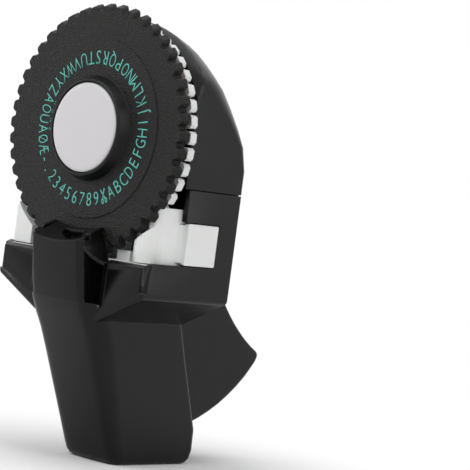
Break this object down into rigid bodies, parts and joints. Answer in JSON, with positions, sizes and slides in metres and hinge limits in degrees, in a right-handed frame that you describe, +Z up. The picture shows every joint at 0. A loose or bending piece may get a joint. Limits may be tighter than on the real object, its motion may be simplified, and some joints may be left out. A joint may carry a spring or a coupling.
{
  "type": "embossing label maker",
  "caption": "Hand-held embossing label maker: a turning character dial over slotted finger wheels, an open tape press, a squeeze trigger in a raked grip and a hinged tape cover.",
  "frame": {"origin": "middle of the flat underside of the grip, on which the tool stands", "axes": "+Z up, -Y the side the character dial faces, +X the right-hand side seen from the dial"},
  "size_m": [0.0696, 0.0804, 0.1268],
  "materials": {
    "black_gloss": "glossy injection-moulded ABS",
    "black_grain": "fine leather grain from the mould",
    "white_acetal": "satin injection-moulded acetal",
    "light_grey": "satin injection-moulded ABS",
    "zinc_steel": "bright zinc-plated steel",
    "spring_steel": "rolled and hardened spring steel",
    "brass": "turned brass",
    "grey_rubber": "moulded matt rubber"
  },
  "bodies": {
    "base": {"main_body": "black_gloss", "chassis_frame": "white_acetal", "tape_guide": "white_acetal", "exit_guide": "white_acetal", "tape_post": "white_acetal", "dial_axle": "zinc_steel", "axle_washer": "zinc_steel", "dial_screw": "zinc_steel", "trigger_pin": "zinc_steel", "cover_hinge_pin": "zinc_steel"},
    "dial": {"dial_knob": "black_grain", "hub_cap": "light_grey", "hub_bush": "brass", "punch_wheel": "black_grain", "die_wheel": "white_acetal", "cutter_blade": "spring_steel"},
    "feed": {"feed_roller": "grey_rubber", "feed_shaft": "zinc_steel", "feed_ratchet": "zinc_steel"},
    "trigger": {"trigger": "black_gloss"},
    "press": {"plunger": "zinc_steel"},
    "cover": {"rear_cover": "black_gloss"}
  },
  "joints": [
    {"name": "dial_spin", "type": "hinge", "parent": "base", "child": "dial", "pos_m": [0, -0.0284, 0.092], "axis": [0, 1, 0], "continuous": true},
    {"name": "feed_spin", "type": "hinge", "parent": "base", "child": "feed", "pos_m": [0.0154, -0.0204, 0.058], "axis": [0, 0, 1], "continuous": true},
    {"name": "trigger_squeeze", "type": "hinge", "parent": "base", "child": "trigger", "pos_m": [0, -0.0034, 0.065], "axis": [-1, 0, 0], "range_deg": [0, 13], "stiffness_Nm_per_rad": 1.5, "springref_deg": -17.19},
    {"name": "plunger_push", "type": "slide", "parent": "base", "child": "press", "axis": [0, -1, 0], "range_m": [0, 0.0024]},
    {"name": "cover_hinge", "type": "hinge", "parent": "base", "child": "cover", "pos_m": [0, 0.0044, 0.079], "axis": [-1, 0, 0], "range_deg": [0, 95]}
  ],
  "couplings": [
    {"joint": "plunger_push", "follows": "trigger_squeeze", "m_per_rad": 0.01}
  ]
}
